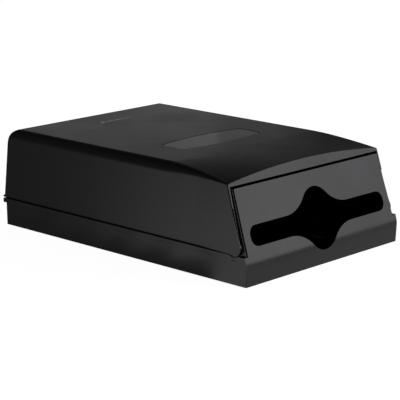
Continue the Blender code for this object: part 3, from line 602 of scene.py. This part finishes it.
def hinge_boss(side):
    xs = sorted((side * hinge_boss_x(), side * (side_wall_x(PIVOT_Y, PIVOT_Z) - 1.0)))
    boss = rod("boss", "x", (PIVOT_Y, PIVOT_Z), COVER_BOSS_RADIUS, xs[0], xs[1])
    return cut(boss, pin_rod("pin_hole", side, PIN_HOLE_RADIUS))


def window_outline(grow):
    """The window seen from above: both long edges bow towards the ends, with rounded corners."""
    half = WINDOW_HALF + grow
    steps = 12

    def back(x):
        return WINDOW_BACK_Y + grow - WINDOW_BACK_SAG * (x / WINDOW_HALF) ** 2

    def front(x):
        return WINDOW_FRONT_Y - grow + WINDOW_FRONT_SAG * (x / WINDOW_HALF) ** 2

    inner = [half * 0.84 * k / steps for k in range(-steps, steps + 1)]
    corners = [(-half, front(half), WINDOW_FRONT_RADIUS)]
    corners += [(x, front(x), 0.0) for x in inner]
    corners += [(half, front(half), WINDOW_FRONT_RADIUS), (half, back(half), WINDOW_BACK_RADIUS)]
    corners += [(x, back(x), 0.0) for x in reversed(inner)]
    corners += [(-half, back(half), WINDOW_BACK_RADIUS)]
    return rounded(corners)


def cover_shell_looks():
    stations = cover_stations(COVER_BACK_Y + COVER_LIP_REACH + OVERRUN, 28)
    shell = loft("cover_shell_looks", [cover_section(y, 0.0, COVER_RIM_Z - 12.0) for y in stations])
    for side in (-1, 1):
        cut(shell, front_edge_groove(side), pin_rod("socket", side, PIN_HOLE_RADIUS + 0.2))
    combine(shell, "INTERSECT", prism("side", cover_side_profile(), "x", -TRAY_RIM_HALF, TRAY_RIM_HALF))
    cut(shell, cover_cavity(), front_opening())
    fuse(shell, hinge_boss(-1), hinge_boss(1))
    for place in WINDOW_SCREW_PLACES:
        fuse(shell, rod("boss", "z", place, 2.9, FLANGE_Z[0], COVER_TOP - 1.2, 24))
        cut(shell, rod("pilot", "z", place, SCREW_HOLE_RADIUS, FLANGE_Z[0] - OVERRUN, COVER_TOP - 1.0, 16))
    fuse(shell, rod("lock_pad", "y", (0.0, LOCK_Z), LOCK_PAD_RADIUS, LOCK_PAD_INNER_Y, LOCK_PAD_OUTER_Y, 64))
    cut(shell, rod("lock_hole", "y", (0.0, LOCK_Z), LOCK_HOLE_RADIUS, LOCK_PAD_INNER_Y - 5.0, LOCK_PAD_OUTER_Y + 5.0, 48))
    cut(shell, prism("window", window_outline(WINDOW_GAP), "z", COVER_TOP - COVER_WALL - 5.0, COVER_TOP + 5.0))
    return soften(shell, 0.3)


def pane_looks():
    """The window: a flush pane in the cover's opening on a wider flange behind it."""
    pane = prism("level_window_looks", window_outline(0.0), "z", FLANGE_Z[0] + 1.0, COVER_TOP - WINDOW_RECESS)
    fuse(pane, prism("flange", window_outline(WINDOW_FLANGE), "z", *FLANGE_Z))
    return soften(pane, 0.25)


def mark_looks():
    """A plain printed ornament near the far end: a dot, a long bar and three ticks."""
    z = COVER_TOP + 0.015
    middle_y = 129.0
    points = []
    faces = []

    def add(outline):
        start = len(points)
        points.extend((x, y, z) for x, y in outline)
        faces.append(list(range(start, len(points))))

    add(arc(-19.5, middle_y, 3.0, 0.0, 2 * math.pi, 28)[:-1])
    add(rounded([(-14.0, middle_y - 1.1, 1.0), (12.0, middle_y - 1.1, 1.0), (12.0, middle_y + 1.1, 1.0),
                 (-14.0, middle_y + 1.1, 1.0)], 5))
    for x in (15.5, 20.0, 24.5):
        add(rounded([(x - 1.1, middle_y - 1.1, 1.0), (x + 1.1, middle_y - 1.1, 1.0), (x + 1.1, middle_y + 1.1, 1.0),
                     (x - 1.1, middle_y + 1.1, 1.0)], 5))
    return add_mesh("printed_ornament", points, faces)


# ---- materials ------------------------------------------------------------------------------------------
def new_material(name, color, roughness, metallic=0.0):
    material = bpy.data.materials.new(name)
    material.use_nodes = True
    shader = material.node_tree.nodes["Principled BSDF"]
    shader.inputs["Base Color"].default_value = (*color, 1.0)
    shader.inputs["Roughness"].default_value = roughness
    shader.inputs["Metallic"].default_value = metallic
    return material, shader


def noise(tree, scale, detail, stretch=(1.0, 1.0, 1.0)):
    """Noise fixed to the object, with scale in features per metre."""
    place = tree.nodes.new("ShaderNodeTexCoord")
    mapping = tree.nodes.new("ShaderNodeMapping")
    mapping.inputs["Scale"].default_value = stretch
    texture = tree.nodes.new("ShaderNodeTexNoise")
    texture.inputs["Scale"].default_value = scale
    texture.inputs["Detail"].default_value = detail
    tree.links.new(place.outputs["Object"], mapping.inputs["Vector"])
    tree.links.new(mapping.outputs["Vector"], texture.inputs["Vector"])
    return texture.outputs["Fac"]


def vary(tree, value, low, high, target):
    """Drive a socket between low and high by a noise value."""
    spread = tree.nodes.new("ShaderNodeMapRange")
    spread.inputs["From Min"].default_value = 0.3
    spread.inputs["From Max"].default_value = 0.7
    spread.inputs["To Min"].default_value = low
    spread.inputs["To Max"].default_value = high
    tree.links.new(value, spread.inputs["Value"])
    tree.links.new(spread.outputs["Result"], target)


def tint(tree, value, dark, light, target):
    """Blend a colour socket from dark to light by a noise value."""
    ramp = tree.nodes.new("ShaderNodeValToRGB")
    ramp.color_ramp.elements[0].position = 0.3
    ramp.color_ramp.elements[0].color = (*dark, 1.0)
    ramp.color_ramp.elements[1].position = 0.7
    ramp.color_ramp.elements[1].color = (*light, 1.0)
    tree.links.new(value, ramp.inputs["Fac"])
    tree.links.new(ramp.outputs["Color"], target)


def bump(tree, shader, value, height):
    """Relief of the given height in metres."""
    relief = tree.nodes.new("ShaderNodeBump")
    relief.inputs["Strength"].default_value = 1.0
    relief.inputs["Distance"].default_value = height
    tree.links.new(value, relief.inputs["Height"])
    tree.links.new(relief.outputs["Normal"], shader.inputs["Normal"])


def gloss_abs():
    """Moulded black ABS: slightly uneven gloss, faint flow clouds and a very fine skin."""
    material, shader = new_material("gloss_black_abs_looks", (0.009, 0.009, 0.0105), 0.2)
    tree = material.node_tree
    vary(tree, noise(tree, 14.0, 4.0), 0.24, 0.30, shader.inputs["Roughness"])
    tint(tree, noise(tree, 5.0, 2.0), (0.008, 0.008, 0.0095), (0.0105, 0.0105, 0.012), shader.inputs["Base Color"])
    bump(tree, shader, noise(tree, 1400.0, 3.0), 0.0000015)
    return material


def satin_abs():
    material, shader = new_material("satin_black_abs_looks", (0.018, 0.018, 0.019), 0.5)
    tree = material.node_tree
    vary(tree, noise(tree, 40.0, 3.0), 0.44, 0.56, shader.inputs["Roughness"])
    bump(tree, shader, noise(tree, 2200.0, 2.0), 0.00001)
    return material


def smoked_acrylic():
    """Dark tinted acrylic with a polished face and a trace of haze."""
    material, shader = new_material("smoked_acrylic_looks", (0.022, 0.022, 0.024), 0.1)
    tree = material.node_tree
    vary(tree, noise(tree, 30.0, 3.0), 0.08, 0.14, shader.inputs["Roughness"])
    tint(tree, noise(tree, 22.0, 2.0), (0.018, 0.018, 0.02), (0.03, 0.03, 0.032), shader.inputs["Base Color"])
    return material


def zinc_steel():
    material, shader = new_material("zinc_steel_looks", (0.5, 0.51, 0.53), 0.35, 1.0)
    tree = material.node_tree
    vary(tree, noise(tree, 160.0, 4.0, (1.0, 8.0, 1.0)), 0.28, 0.45, shader.inputs["Roughness"])
    tint(tree, noise(tree, 90.0, 3.0), (0.42, 0.43, 0.46), (0.6, 0.6, 0.61), shader.inputs["Base Color"])
    bump(tree, shader, noise(tree, 700.0, 2.0, (1.0, 10.0, 1.0)), 0.000006)
    return material


def chrome():
    material, shader = new_material("chrome_looks", (0.68, 0.68, 0.7), 0.12, 1.0)
    tree = material.node_tree
    vary(tree, noise(tree, 220.0, 3.0), 0.08, 0.18, shader.inputs["Roughness"])
    bump(tree, shader, noise(tree, 900.0, 2.0), 0.000002)
    return material


def silver_foil():
    """Hot-stamped foil, which mirrors the light behind more brightly than the plastic round it."""
    material, shader = new_material("silver_foil_looks", (0.85, 0.85, 0.86), 0.3, 1.0)
    tree = material.node_tree
    vary(tree, noise(tree, 300.0, 2.0), 0.26, 0.36, shader.inputs["Roughness"])
    tint(tree, noise(tree, 500.0, 2.0), (0.8, 0.8, 0.81), (0.9, 0.9, 0.91), shader.inputs["Base Color"])
    return material


def dress(piece, material):
    piece.data.materials.clear()
    piece.data.materials.append(material)


# ---- floor and light ---------------------------------------------------------------------------------------
def add_floor():
    mesh = bpy.data.meshes.new("floor")
    half = 6.0
    mesh.from_pydata([(-half, -half, 0), (half, -half, 0), (half, half, 0), (-half, half, 0)], [], [(0, 1, 2, 3)])
    floor = bpy.data.objects.new("floor", mesh)
    bpy.context.scene.collection.objects.link(floor)
    floor.location.z = -0.0003
    material, shader = new_material("floor_paper", (0.9, 0.9, 0.9), 0.9)
    shader.inputs["Specular IOR Level"].default_value = 0.0
    shader.inputs["Emission Color"].default_value = (1.0, 1.0, 1.0, 1.0)
    shader.inputs["Emission Strength"].default_value = 0.96
    mesh.materials.append(material)
    floor.visible_glossy = False
    floor.visible_diffuse = False
    floor.visible_shadow = False


def add_softbox(name, place, target, width, height, radiance):
    """A rectangular light of a given surface brightness."""
    data = bpy.data.lights.new(name, "AREA")
    data.shape = "RECTANGLE"
    data.size = width
    data.size_y = height
    data.energy = radiance * math.pi * width * height
    data.color = (0.97, 0.98, 1.0)
    light = bpy.data.objects.new(name, data)
    bpy.context.scene.collection.objects.link(light)
    light.location = place
    light.rotation_euler = (Vector(target) - Vector(place)).to_track_quat("-Z", "Y").to_euler()
    return light


def add_front_light():
    """The large softbox that the slot panel mirrors."""
    add_softbox("front_right", (1.02, -1.42, 0.50), (0.0, -0.18, 0.06), 1.15, 0.9, 1.9)


def add_back_light():
    """A soft-edged light low behind the object, built up from nested sheets, that the top mirrors."""
    for number, (width, height, radiance) in enumerate(((0.35, 0.22, 0.09), (0.6, 0.34, 0.065), (0.75, 0.42, 0.05))):
        add_softbox(f"back_{number}", (0.68 + 0.01 * number, 0.834 + 0.01 * number, 0.25), (0.0, 0.0, 0.11),
                    width, height, radiance)


def add_table_glow():
    """Light from the white table, brighter towards the slot end. It shines from just under the floor."""
    along = Vector((-0.704, 0.668, 0.0)).normalized()
    across = Vector((0.668, 0.704, 0.0)).normalized()
    turn = math.atan2(along.y, along.x)
    for number, (near, far, radiance) in enumerate((
        (-0.40, -0.19, 0.64), (-0.19, -0.145, 0.60), (-0.145, -0.10, 0.43), (-0.10, -0.055, 0.23),
        (-0.055, -0.01, 0.10), (-0.01, 0.06, 0.03),
    )):
        middle = (near + far) / 2
        start = 0.257 + 0.95 * middle
        place = across * middle + along * (start + 0.55) + Vector((0.0, 0.0, -0.01))
        strip = add_softbox(f"table_left_{number}", place, place + Vector((0.0, 0.0, 1.0)), 1.1, far - near, radiance)
        strip.rotation_euler = (math.pi, 0.0, turn)
    place = Vector((0.12, -0.34, -0.01))
    add_softbox("table_front", place, place + Vector((0.0, 0.0, 1.0)), 0.9, 0.32, 0.38)


def add_world():
    """A dim studio: paler near the horizon, dark overhead."""
    world = bpy.data.worlds.new("studio")
    bpy.context.scene.world = world
    world.use_nodes = True
    tree = world.node_tree
    background = tree.nodes["Background"]
    place = tree.nodes.new("ShaderNodeTexCoord")
    split = tree.nodes.new("ShaderNodeSeparateXYZ")
    ramp = tree.nodes.new("ShaderNodeValToRGB")
    stops = [(0.0, 0.12), (0.45, 0.14), (0.5, 0.07), (0.62, 0.055), (0.72, 0.06), (0.85, 0.03), (1.0, 0.03)]
    rise = tree.nodes.new("ShaderNodeMapRange")
    rise.inputs["From Min"].default_value = -1.0
    rise.inputs["From Max"].default_value = 1.0
    elements = ramp.color_ramp.elements
    elements[0].position, elements[1].position = stops[0][0], stops[-1][0]
    elements[0].color = (stops[0][1],) * 3 + (1.0,)
    elements[1].color = (stops[-1][1],) * 3 + (1.0,)
    for position, value in stops[1:-1]:
        elements.new(position).color = (value, value, value * 1.03, 1.0)
    tree.links.new(place.outputs["Generated"], split.inputs["Vector"])
    tree.links.new(split.outputs["Z"], rise.inputs["Value"])
    tree.links.new(rise.outputs["Result"], ramp.inputs["Fac"])
    tree.links.new(ramp.outputs["Color"], background.inputs["Color"])
    background.inputs["Strength"].default_value = 1.0


# ---- assembly ---------------------------------------------------------------------------------------------------
bpy.context.scene.view_settings.view_transform = "Standard"
add_camera()
add_floor()
add_world()
add_front_light()
add_back_light()
add_table_glow()

finishes = {
    "gloss_black_abs": gloss_abs(),
    "matte_black_abs": satin_abs(),
    "smoked_window": smoked_acrylic(),
    "zinc_steel": zinc_steel(),
    "chrome": chrome(),
}
for part in frame["record"]["subparts"]:
    dress(nodes[part["node"]], finishes[part["material_slot"]])

for piece, node, body, slot in (
    (base_tray_looks(), "base_tray", "tray", "gloss_black_abs"),
    (cover_shell_looks(), "cover_shell", "cover", "gloss_black_abs"),
    (pane_looks(), "level_window", "cover", "smoked_window"),
):
    dress(piece, finishes[slot])
    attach(piece, body)
    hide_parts(node)

mark = mark_looks()
dress(mark, silver_foil())
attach(mark, "cover")
